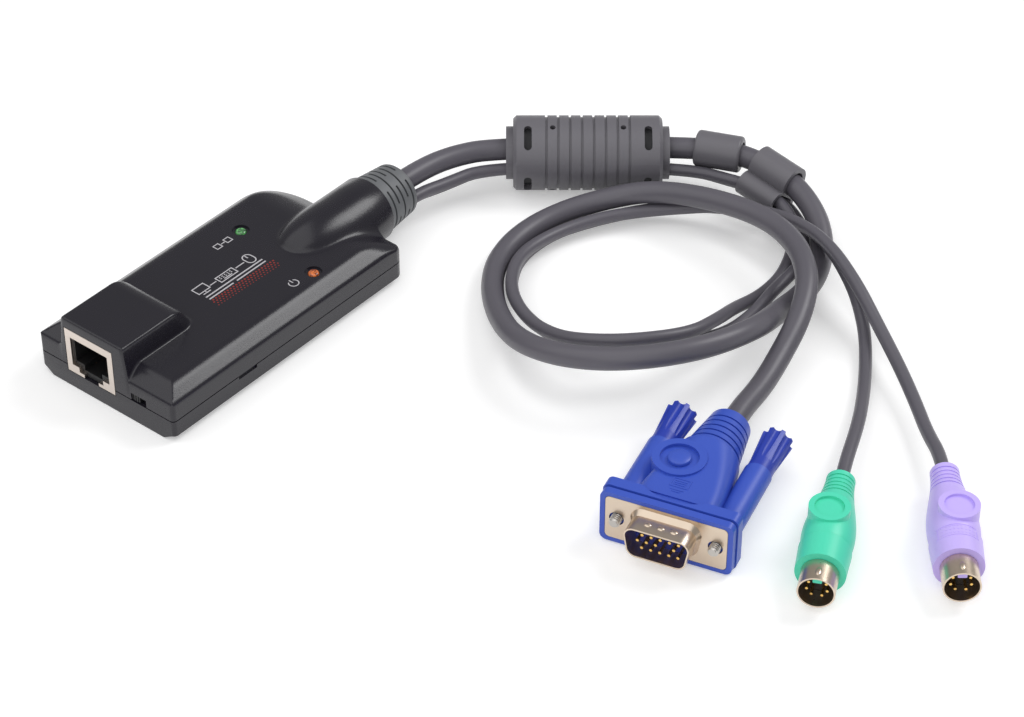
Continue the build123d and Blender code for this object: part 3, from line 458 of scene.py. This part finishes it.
# Housing: two covers whose corners, shoulders and gland foot are rounder than their solids
housingValues = {
    "front": -52.75, "rear": 34.25, "half": 23.4,
    "top": 14.9, "side": 11.7, "rearSide": 10.4, "shoulder": 0.80, "rearSlope": 0.52,
    "leftCorner": 13.0, "rightCorner": 3.0, "frontCorner": 1.2,
    "seamLow": 6.40, "seamHigh": 6.70, "lip": 0.6, "foot": 1.9, "footInset": 3.9,
    "edge": 0.9, "rim": 0.7,
    "humpTop": 21.3, "humpMiddle": 3.85, "humpHalf": 10.7, "humpRear": -31.4, "humpSlope": 1.7, "humpFlare": 0.125,
    "humpEdge": 0.8, "humpBack": 3.4, "humpFoot": 0.7,
    "glandY": -5.0, "glandZ": 10.7, "glandRadius": 9.3, "glandNose": 18.9, "glandRound": 27.5,
    "glandPower": 2.6, "glandLean": 0.9, "glandEnd": 41.25,
    "glandFoot": 0.5, "glandFlare": 3.2, "flareFrom": 16.0, "flareRun": 18.0, "tubeFrom": 33.6, "tubeEdge": 0.5,
    "backBlend": 2.4, "fixedX": 2.0, "holeGap": 0.2,
    # The net over the cover: each stretch ends at the first number and is divided by the second
    "across": ((-8.7, 0.5), (-5.8, 0.1), (13.4, 0.5), (16.4, 0.1)), "acrossStep": 0.4,
    "along": ((-51.6, 0.12), (-36.0, 0.6), (-24.0, 0.25), (6.0, 0.6)), "alongStep": 0.4,
    "slotShift": -1.1, "slotHalf": (2.6, 1.15), "slotDepth": 3.6,
    "recess": (2.3, 0.5), "pipeHole": (1.6, 3.0),
    "pry": ((-29.25, 5.55), (-22.65, 6.5)), "pryDepth": 0.5,
}


def softMin(a, b, k):
    h = np.maximum(k - np.abs(a - b), 0.0) / k
    return np.minimum(a, b) - h * h * k / 4


def softMax(a, b, k):
    return -softMin(-a, -b, k)


def outlineEnd(v, y, rear):
    # How far the outline pulls in at a corner, as x of the front or rear end at this y
    radius = np.where(y > 0, v["leftCorner"], v["rightCorner"]) if rear else np.full_like(y, v["frontCorner"])
    over = np.clip(np.abs(y) - (v["half"] - radius), 0, radius)
    pull = radius - np.sqrt(np.maximum(radius ** 2 - over ** 2, 0))
    return v["rear"] - pull if rear else v["front"] + pull


def insetOf(v, x, y):
    # Distance from the outline, inwards
    radius = np.where(y > 0, v["leftCorner"], v["rightCorner"])
    sideways = v["half"] - np.abs(y)
    endways = v["rear"] - x
    inCorner = (sideways < radius) & (endways < radius)
    corner = radius - np.hypot(radius - sideways, radius - endways)
    return np.minimum(np.where(inCorner, corner, np.minimum(sideways, endways)), x - v["front"])


def housingSkin(v, x, y, z):
    # Below zero inside the top cover
    inset = insetOf(v, x, y)
    shoulder = (z - v["side"] - v["shoulder"] * inset) / math.hypot(1, v["shoulder"])
    back = (z - v["rearSide"] - v["rearSlope"] * (v["rear"] - x)) / math.hypot(1, v["rearSlope"])
    base = softMax(z - v["top"], shoulder, v["edge"])
    base = softMax(base, back, v["backBlend"])
    base = softMax(base, -inset, v["rim"])
    side = np.abs(y - v["humpMiddle"]) - v["humpHalf"] + v["humpFlare"] * (z - v["humpTop"])
    behind = (v["humpSlope"] * (x - v["humpRear"]) + z - v["humpTop"]) / math.hypot(1, v["humpSlope"])
    hump = softMax(z - v["humpTop"], side, v["humpEdge"])
    hump = softMax(hump, behind, v["humpBack"])
    hump = softMax(hump, v["front"] - x, v["humpEdge"])
    part = np.maximum(v["glandRound"] - x, 0) / v["glandNose"]
    narrow = (1 - np.minimum(part, 1) ** v["glandPower"]) ** (2 / v["glandPower"])
    along = v["glandRadius"] * np.sqrt(1 - narrow) * np.maximum(part, 1)
    middle = v["glandY"] + v["glandLean"] * np.minimum(part, 1)
    gland = np.sqrt(along ** 2 + (y - middle) ** 2 + (z - v["glandZ"]) ** 2) - v["glandRadius"]
    spread = np.clip((x - v["flareFrom"]) / v["flareRun"], 0, 1) ** 2
    body = softMin(base, hump, v["humpFoot"])
    return softMin(body, gland, v["glandFoot"] + v["glandFlare"] * spread)


def lines(start, stretches):
    marks = []
    for end, step in stretches:
        count = max(1, round((end - start) / step))
        marks += [start + (end - start) * i / count for i in range(count)]
        start = end
    return np.array(marks + [start])


def coverSkin(v):
    bend = np.sin(np.linspace(0, math.pi / 2, 9))[1:] * v["frontCorner"]
    straight = v["half"] - v["frontCorner"]
    middle = lines(-straight, v["across"] + ((straight, v["acrossStep"]),))
    across = np.concatenate([-(straight + bend)[::-1], middle, straight + bend])
    along = lines(v["front"], v["along"] + ((v["rear"], v["alongStep"]),))
    gridX, gridY = np.meshgrid(along, across, indexing="ij")
    frontEnd = outlineEnd(v, gridY, False)
    rearEnd = outlineEnd(v, gridY, True)
    split = v["fixedX"]
    ahead = frontEnd + (gridX - v["front"]) * (split - frontEnd) / (split - v["front"])
    behind = split + (gridX - split) * (rearEnd - split) / (v["rear"] - split)
    gridX = np.where(gridX < split, ahead, behind)
    low = np.full_like(gridX, v["seamHigh"] + 0.5)
    high = np.full_like(gridX, v["humpTop"] + 1.0)
    for _ in range(34):
        level = (low + high) / 2
        outside = housingSkin(v, gridX, gridY, level) > 0
        high = np.where(outside, level, high)
        low = np.where(outside, low, level)
    rows, columns = gridX.shape
    vertices = np.stack([gridX, gridY, (low + high) / 2], axis=2).reshape(-1, 3).tolist()
    faces = [(r * columns + c, (r + 1) * columns + c, (r + 1) * columns + c + 1, r * columns + c + 1)
             for r in range(rows - 1) for c in range(columns - 1)]
    border = [c for c in range(columns)] + [r * columns + columns - 1 for r in range(1, rows)]
    border += [(rows - 1) * columns + c for c in range(columns - 2, -1, -1)]
    border += [r * columns for r in range(rows - 2, 0, -1)]
    start = len(vertices)
    vertices += [(vertices[i][0], vertices[i][1], v["seamHigh"]) for i in border]
    for step, index in enumerate(border):
        after = (step + 1) % len(border)
        faces.append((index, border[after], start + after, start + step))
    faces.append(tuple(range(start, len(vertices))))
    return vertices, faces


def planRing(v, inset, z, clampY=None):
    # The housing's outline, pulled in by an inset
    points = []
    for centerX, centerY, radius, first in (
        (v["rear"] - v["leftCorner"], v["half"] - v["leftCorner"], v["leftCorner"], 0),
        (v["front"] + v["frontCorner"], v["half"] - v["frontCorner"], v["frontCorner"], 90),
        (v["front"] + v["frontCorner"], v["frontCorner"] - v["half"], v["frontCorner"], 180),
        (v["rear"] - v["rightCorner"], v["rightCorner"] - v["half"], v["rightCorner"], 270),
    ):
        for step in range(17):
            turn = math.radians(first + 90 * step / 16)
            y = centerY + (radius - inset) * math.sin(turn)
            if clampY:
                y = max(-clampY, min(clampY, y))
            points.append((centerX + (radius - inset) * math.cos(turn), y, z))
    return points


def tubeSkin(x0, x1, y, z, radius, edge, steps=96):
    rings = []
    for x, r in ((x0, radius), (x1 - edge, radius), (x1 - edge * 0.3, radius - edge * 0.3), (x1, radius - edge)):
        rings.append([(x, y + r * math.cos(2 * math.pi * i / steps), z + r * math.sin(2 * math.pi * i / steps))
                      for i in range(steps)])
    return loft(rings)


def makeHousing(v):
    cover = makePiece("topCover", *coverSkin(v), "housing_plastic")
    tray = makePiece("bottomTray", *loft([
        planRing(v, 0, 0, v["half"] - v["footInset"]),
        planRing(v, 0, v["foot"]),
        planRing(v, 0, v["seamLow"]),
        planRing(v, v["lip"], v["seamLow"]),
        planRing(v, v["lip"], v["seamHigh"] + 0.2),
    ]), "housing_plastic")
    jackLow, jackHigh = spot("jack_shield")
    gap = v["holeGap"]
    ahead = v["front"] - 2
    hole = boxSkin((ahead, jackLow[1] - gap, jackLow[2] - gap), (jackHigh[0], jackHigh[1] + gap, jackHigh[2] + gap))
    sliderLow, sliderHigh = spot("switch_slider")
    slotY = (sliderLow[1] + sliderHigh[1]) / 2 + v["slotShift"]
    slotZ = (sliderLow[2] + sliderHigh[2]) / 2
    halfY, halfZ = v["slotHalf"]
    slotEnd = v["front"] + v["slotDepth"]
    slotHole = boxSkin((ahead, slotY - halfY, slotZ - halfZ), (slotEnd, slotY + halfY, slotZ + halfZ))
    tube = tubeSkin(v["tubeFrom"], v["glandEnd"], v["glandY"], v["glandZ"], v["glandRadius"], v["tubeEdge"])
    cuts = [("UNION", tube), ("DIFFERENCE", hole), ("DIFFERENCE", slotHole)]
    for light in ("led_online", "led_power"):
        low, high = spot(light)
        center = ((low[0] + high[0]) / 2, (low[1] + high[1]) / 2)
        for (radius, depth), over in ((v["recess"], 2), (v["pipeHole"], 1)):
            cuts.append(("DIFFERENCE", discSkin(center, radius, v["top"] - depth, v["top"] + over)))
    combine(cover, cuts)
    (pryX0, pryZ0), (pryX1, pryZ1) = v["pry"]
    pry = boxSkin((pryX0, -v["half"] - 1, pryZ0), (pryX1, v["pryDepth"] - v["half"], pryZ1))
    combine(tray, [("DIFFERENCE", hole), ("DIFFERENCE", slotHole), ("DIFFERENCE", pry)])
    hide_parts("top_shell")
    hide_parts("bottom_shell")
    print("housing covers:", len(cover.data.polygons), "and", len(tray.data.polygons), "faces")


makeHousing(housingValues)


# Prints and small reliefs: strokes are flat ribs along drawn lines, laid on a surface
def strokeSkin(routes, width, low, high, place):
    # place turns a drawing's x, y and height into a point
    vertices, faces = [], []
    for route in routes:
        closed = route[0] == route[-1]
        points = [Vector(point) for point in (route[:-1] if closed else route)]
        rings = []
        for index, point in enumerate(points):
            runs = []
            if closed or index > 0:
                runs.append((point - points[index - 1]).normalized())
            if closed or index < len(points) - 1:
                runs.append((points[(index + 1) % len(points)] - point).normalized())
            along = (runs[0] + runs[-1]).normalized()
            side = Vector((-along[1], along[0]))
            reach = width / 2 / max(0.5, side.dot(Vector((-runs[0][1], runs[0][0]))))
            left, right = point + side * reach, point - side * reach
            corners = ((left, low), (right, low), (right, high), (left, high))
            rings.append([place(*corner, level) for corner, level in corners])
        skin = loft(rings)
        if closed:
            last = 4 * (len(rings) - 1)
            seam = [(last + i, last + (i + 1) % 4, (i + 1) % 4, i) for i in range(4)]
            skin = (skin[0], skin[1][:-2] + seam)
        base = len(vertices)
        vertices += skin[0]
        faces += [tuple(base + i for i in face) for face in skin[1]]
    return vertices, faces


def boxRoute(x0, y0, x1, y1):
    return [(x0, y0), (x1, y0), (x1, y1), (x0, y1), (x0, y0)]


def arcRoute(x, y, radius, first, last, steps=18):
    turns = [math.radians(first + (last - first) * i / steps) for i in range(steps + 1)]
    return [(x + radius * math.cos(a), y + radius * math.sin(a)) for a in turns]


def plugPlace(mouth, heading, back, aside, up):
    # A point by its distance behind a plug's mouth, beside its axis and above it
    turn = math.radians(heading)
    return (mouth[0] - math.cos(turn) * back - math.sin(turn) * aside,
            mouth[1] - math.sin(turn) * back + math.cos(turn) * aside, mouth[2] + up)


class Growth(Maker):
    # A Geometry Nodes tree with named inputs
    def __init__(self, name, inputs):
        self.tree = bpy.data.node_groups.new(name, "GeometryNodeTree")
        self.tree.interface.new_socket("Geometry", in_out="OUTPUT", socket_type="NodeSocketGeometry")
        self.keys = {}
        for label, (kind, value) in inputs.items():
            socket = self.tree.interface.new_socket(label, in_out="INPUT", socket_type="NodeSocket" + kind)
            self.keys[label] = (socket.identifier, value)
        self.source = self.tree.nodes.new("NodeGroupInput")

    def value(self, label):
        return Field(self, self.source.outputs[label])

    def grow(self, name, geometry, slot, body):
        real = self.node("GeometryNodeRealizeInstances", {}, {0: geometry})
        dressed = self.node("GeometryNodeSetMaterial", {}, {"Geometry": real, "Material": finishes[slot]})
        output = self.tree.nodes.new("NodeGroupOutput")
        self.tree.links.new(dressed.socket, output.inputs[0])
        piece = bpy.data.objects.new(name, bpy.data.meshes.new(name))
        scene.collection.objects.link(piece)
        change = piece.modifiers.new("growth", "NODES")
        change.node_group = self.tree
        for identifier, value in self.keys.values():
            change[identifier] = value
        bpy.context.view_layer.update()
        graph = bpy.context.evaluated_depsgraph_get()
        made = bpy.data.meshes.new_from_object(piece.evaluated_get(graph))
        piece.modifiers.clear()
        piece.data = made
        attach(piece, body)
        return piece


dotValues = {"columns": 22, "rows": 4, "pitch": 1.04, "rowPitch": 0.86, "radius": 0.31, "thick": 0.03,
             "middle": (-7.3, -6.0, 14.9), "turn": -1.5,
             "facets": 10, "smallest": 0.62, "growth": 0.13}


def makeDots(v):
    # Four staggered rows of printed dots, which shrink towards the last row
    growth = Growth("dotBand", {
        "Columns": ("Int", v["columns"]), "Rows": ("Int", v["rows"]),
        "Pitch": ("Float", v["pitch"] * mm), "Row pitch": ("Float", v["rowPitch"] * mm),
        "Radius": ("Float", v["radius"] * mm), "Thickness": ("Float", v["thick"] * mm),
    })
    columns, rows = growth.value("Columns"), growth.value("Rows")
    pitch, rowPitch = growth.value("Pitch"), growth.value("Row pitch")
    grid = growth.node("GeometryNodeMeshGrid", {}, {
        "Size X": pitch * (columns - 1), "Size Y": rowPitch * (rows - 1), "Vertices X": columns, "Vertices Y": rows})
    row = growth.math("MODULO", growth.node("GeometryNodeInputIndex"), rows)
    odd = growth.math("MODULO", row, 2)
    shift = growth.node("ShaderNodeCombineXYZ", {}, {"X": (odd - 0.5) * pitch * 0.5})
    moved = growth.node("GeometryNodeSetPosition", {}, {"Geometry": grid, "Offset": shift})
    dot = growth.node("GeometryNodeMeshCylinder", {}, {
        "Vertices": v["facets"], "Radius": growth.value("Radius"), "Depth": growth.value("Thickness")})
    size = v["smallest"] + row * v["growth"]
    dots = growth.node("GeometryNodeInstanceOnPoints", {}, {"Points": moved, "Instance": dot, "Scale": size})
    laid = growth.node("GeometryNodeTransform", {}, {
        "Geometry": dots, "Translation": tuple(c * mm for c in v["middle"]),
        "Rotation": (0.0, 0.0, math.radians(v["turn"]))})
    growth.grow("dotBand", laid, "print_red", "housing")


# Generic signs drawn on the cover, as x and y in millimetres
printValues = {
    "top": housingValues["top"], "thick": 0.03, "signWidth": 0.32, "barWidth": 0.42, "markWidth": 0.28,
    "screen": (-18.6, -0.2, -14.6, 2.5), "keyboard": (-11.2, -1.1, -5.2, 1.3),
    "keyStart": -10.4, "keyPitch": 0.95, "keyLength": 0.4, "keyRows": (0.65, 0.05), "keyCount": 5,
    "pointer": (0.6, 1.0, -0.2, 1.35), "pointerEnd": (1.95, 1.0),
    "bars": [(-2.4, -18.4, 2.6), (-3.6, -18.4, -9.5), (-3.6, -8.2, 2.6)],
    "power": (0.2, -15.6, 1.35), "link": [(-1.6, 9.4, 0.2, 11.2), (2.2, 9.4, 4.0, 11.2)],
}


def makePrints(v):
    # A screen, a keyboard and a pointer joined by a line, plain bars, a power ring and a link
    def place(x, y, z):
        return x, y, z

    def lay(name, routes, width):
        makePiece(name, *strokeSkin(routes, width, v["top"], v["top"] + v["thick"], place), "print_pale")

    screen = [boxRoute(*v["screen"]), [(-16.6, -0.45), (-16.6, -0.75)], [(-17.9, -1.1), (-15.3, -1.1)]]
    keys = [boxRoute(*v["keyboard"])]
    for i in range(v["keyCount"]):
        start = v["keyStart"] + v["keyPitch"] * i
        keys += [[(start, y), (start + v["keyLength"], y)] for y in v["keyRows"]]
    keys.append([(-9.6, -0.55), (-6.8, -0.55)])
    x, upper, lower, radius = v["pointer"]
    pointer = [arcRoute(x, upper, radius, 0, 180) + arcRoute(x, lower, radius, 180, 360) + [v["pointerEnd"]],
               [(x, 2.0), (x, 0.8)]]
    joints = [[(-14.1, 0.3), (-11.8, 0.3)], [(-4.6, 0.3), (-1.4, 0.3)]]
    lay("printSigns", screen + keys + pointer + joints, v["signWidth"])
    lay("printBars", [[(start, y), (end, y)] for y, start, end in v["bars"]], v["barWidth"])
    x, y, radius = v["power"]
    power = [arcRoute(x, y, radius, 125, 415), [(x, -13.9), (x, -15.4)]]
    lay("printMarks", power + [boxRoute(*box) for box in v["link"]] + [[(0.5, 10.3), (1.9, 10.3)]], v["markWidth"])


videoPlug = {"mouth": (-9.6, -142.2, 7.75), "heading": 195.1}
keyboardPlug = {"mouth": (19.7, -205.8, 6.5), "heading": 218.5}
mousePlug = {"mouth": (-3.1, -180.6, 6.5), "heading": 206.0}


def onPlug(plug, node):
    # Lays a drawing on a plug's back: x is to the side, y is back from the mouth
    def place(x, y, z):
        point = plugPlace(plug["mouth"], plug["heading"], y, x, 12.0)
        start = nodes[node].matrix_world.inverted() @ (Vector(point) * mm)
        found, hit, _, _ = nodes[node].ray_cast(start, Vector((0, 0, -1)))
        height = (nodes[node].matrix_world @ hit)[2] / mm if found else plug["mouth"][2]
        return point[0], point[1], height + z
    return place


# Raised signs on the plugs, as aside and back from the mouth in millimetres
plugSignValues = {
    "screen": (-2.9, 9.4, 1.5, 12.4), "screenLines": (10.2, 10.9, 11.6), "screenWidth": 0.34,
    "frameEnds": (11.6, 15.4), "frameSides": (-4.9, 4.6), "frameStart": -4.4, "frameStep": (0.5, 0.76),
    "frameWidth": 0.3, "keyRows": (12.4, 13.5, 14.6), "keyStart": -4.0, "keyPitch": 0.92, "keyLength": 0.45,
    "keyWidth": 0.5, "keyCount": 9,
}


def makePlugSigns(v):
    flat = onPlug(videoPlug, "video_hood")
    screen = [boxRoute(*v["screen"])] + [[(-2.2, y), (0.8, y)] for y in v["screenLines"]]
    screen += [[(-2.4, 8.3), (1.0, 8.3)], [(-1.8, 7.6), (0.4, 7.6)]]
    makePiece("videoSign", *strokeSkin(screen, v["screenWidth"], -0.05, 0.12, flat), "video_blue")
    around = onPlug(keyboardPlug, "keyboard_hood")
    stepX, stepY = v["frameStep"]
    frame = [[(v["frameStart"] + stepX * i, y) for i in range(18)] for y in v["frameEnds"]]
    frame += [[(x, v["frameEnds"][0] + stepY * i) for i in range(6)] for x in v["frameSides"]]
    keys = []
    for i in range(v["keyCount"]):
        start = v["keyStart"] + v["keyPitch"] * i
        keys += [[(start, y), (start + v["keyLength"], y)] for y in v["keyRows"]]
    makePiece("keyboardSign", *strokeSkin(frame, v["frameWidth"], -0.25, 0.12, around), "keyboard_purple")
    makePiece("keyboardKeys", *strokeSkin(keys, v["keyWidth"], -0.25, 0.09, around), "keyboard_purple")


def capSkin(center, wide, long, high, turn=0.0, sink=0.1, steps=24, rows=7):
    # A low dome, closed below
    rings = []
    for row in range(rows):
        lean = math.pi / 2 * row / rows
        ring = []
        for step in range(steps):
            a = 2 * math.pi * step / steps
            x = math.cos(lean) * (wide * math.cos(a) * math.cos(turn) - long * math.sin(a) * math.sin(turn))
            y = math.cos(lean) * (wide * math.cos(a) * math.sin(turn) + long * math.sin(a) * math.cos(turn))
            ring.append((center[0] + x, center[1] + y, center[2] + high * math.sin(lean)))
        rings.append(ring)
    rings.insert(0, [(x, y, z - sink) for x, y, z in rings[0]])
    return loft(rings)


# Domes: place on the plug (back, aside, up), then half width, half length and height
domeValues = {
    "disc": {"back": 19.3, "aside": -4.3, "up": 6.9}, "discSize": (2.9, 2.9, 0.65), "discSink": 0.6,
    "shellAsides": (-3.2, 0.1, 3.4), "shellBack": -3.6, "shellUp": 4.30, "shellSize": (0.8, 1.0, 0.34),
    "roundPlace": {"back": 2.6, "aside": 0.0, "up": 4.42}, "roundSize": (1.5, 0.75, 0.42),
}


def makeDomes(v):
    disc = plugPlace(**videoPlug, **v["disc"])
    makePiece("discDome", *capSkin(disc, *v["discSize"], 0, v["discSink"]), "video_blue")
    turn = math.radians(videoPlug["heading"])
    for index, aside in enumerate(v["shellAsides"]):
        place = plugPlace(**videoPlug, back=v["shellBack"], aside=aside, up=v["shellUp"])
        makePiece("shellDimple%d" % index, *capSkin(place, *v["shellSize"], turn), "plug_nickel")
    for name, plug in (("mouse", mousePlug), ("keyboard", keyboardPlug)):
        place = plugPlace(**plug, **v["roundPlace"])
        makePiece(name + "Dimple", *capSkin(place, *v["roundSize"], math.radians(plug["heading"])), "plug_nickel")


threadValues = {
    "core": 0.98, "crest": 1.42, "pitch": 0.635, "front": -2.0, "back": 9.0, "shank": 1.42, "end": 32.4,
    "aside": 12.495, "steps": 28, "ringsPerTurn": 8, "flank": 1.4, "lead": 0.5,
}


def makeThread(name, side, body, v):
    # A screw with a real helical thread at its tip, in place of the plain shank
    steps = v["steps"]
    circle = [(math.cos(2 * math.pi * i / steps), math.sin(2 * math.pi * i / steps)) for i in range(steps)]
    rings = []
    depth = v["front"]
    while depth < v["back"]:
        begun = min(1.0, (depth - v["front"]) / v["lead"] + 0.2)
        ring = []
        for i, (across, up) in enumerate(circle):
            share = (depth / v["pitch"] + i / steps) % 1.0
            rise = min(1.0, (1 - abs(2 * share - 1)) * v["flank"])
            radius = v["core"] + (v["crest"] - v["core"]) * rise * begun
            ring.append((radius * across, radius * up, depth))
        rings.append(ring)
        depth += v["pitch"] / v["ringsPerTurn"]
    for depth in (v["back"] + 0.1, v["end"]):
        rings.append([(v["shank"] * across, v["shank"] * up, depth) for across, up in circle])
    axis = side * v["aside"]
    placed = [[plugPlace(**videoPlug, back=z, aside=axis + x, up=y) for x, y, z in ring] for ring in rings]
    piece = makePiece("threaded_" + name, *loft(placed), "screw_steel", body, 28.0)
    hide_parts("video_screw_" + name)


makeDots(dotValues)
makePrints(printValues)
makePlugSigns(plugSignValues)
makeDomes(domeValues)
for name, side in (("left", -1), ("right", 1)):
    makeThread(name, side, "thumbscrew_" + name, threadValues)
print("prints, signs and threads made")

# Floor and light
stageValues = {
    "size": 6.0, "floorColour": (0.80, 0.80, 0.80, 1.0), "floorGlow": 0.34, "world": 0.34,
    "aim": (0.03, -0.08, 0.0),
    # Each lamp: place in metres, width and height in metres, watts
    "lamps": {
        "keyLamp": ((-0.45, 0.10, 0.95), (1.8, 1.5), 8.2),
        "fillLamp": ((-0.80, -0.60, 0.45), (0.8, 0.6), 1.6),
        "sideLamp": ((0.64, -0.40, 0.74), (0.46, 0.50), 4.2),
    },
}


def makeFloor(values):
    bpy.ops.mesh.primitive_plane_add(size=values["size"], location=(0.05, -0.1, -0.0002))
    floor = bpy.context.object
    floor.name = "floor"
    finish = Finish("paleFloor")
    camera = finish.node("ShaderNodeLightPath", output="Is Camera Ray")
    glossy = finish.node("ShaderNodeLightPath", output="Is Glossy Ray")
    diffuse = finish.node("ShaderNodeBsdfDiffuse", {}, {"Color": values["floorColour"]})
    glow = finish.node("ShaderNodeEmission", {}, {"Strength": values["floorGlow"]})
    both = finish.node("ShaderNodeAddShader", {}, {0: diffuse, 1: glow})
    seen = finish.math("MAXIMUM", camera, glossy)
    finish.show(finish.node("ShaderNodeMixShader", {}, {"Fac": seen, 1: diffuse, 2: both}))
    floor.data.materials.append(finish.material)


def makeLamp(name, place, aim, size, power):
    data = bpy.data.lights.new(name, "AREA")
    data.shape = "RECTANGLE"
    data.size, data.size_y = size
    data.energy = power
    lamp = bpy.data.objects.new(name, data)
    scene.collection.objects.link(lamp)
    lamp.location = place
    lamp.rotation_mode = "QUATERNION"
    lamp.rotation_quaternion = (Vector(aim) - Vector(place)).to_track_quat("-Z", "Y")


def makeWorld(strength):
    world = bpy.data.worlds.new("studio")
    scene.world = world
    world.use_nodes = True
    background = world.node_tree.nodes["Background"]
    background.inputs["Color"].default_value = (1.0, 1.0, 1.0, 1.0)
    background.inputs["Strength"].default_value = strength


makeFloor(stageValues)
for name, (place, size, power) in stageValues["lamps"].items():
    makeLamp(name, place, stageValues["aim"], size, power)
makeWorld(stageValues["world"])
print("floor and lamps placed")
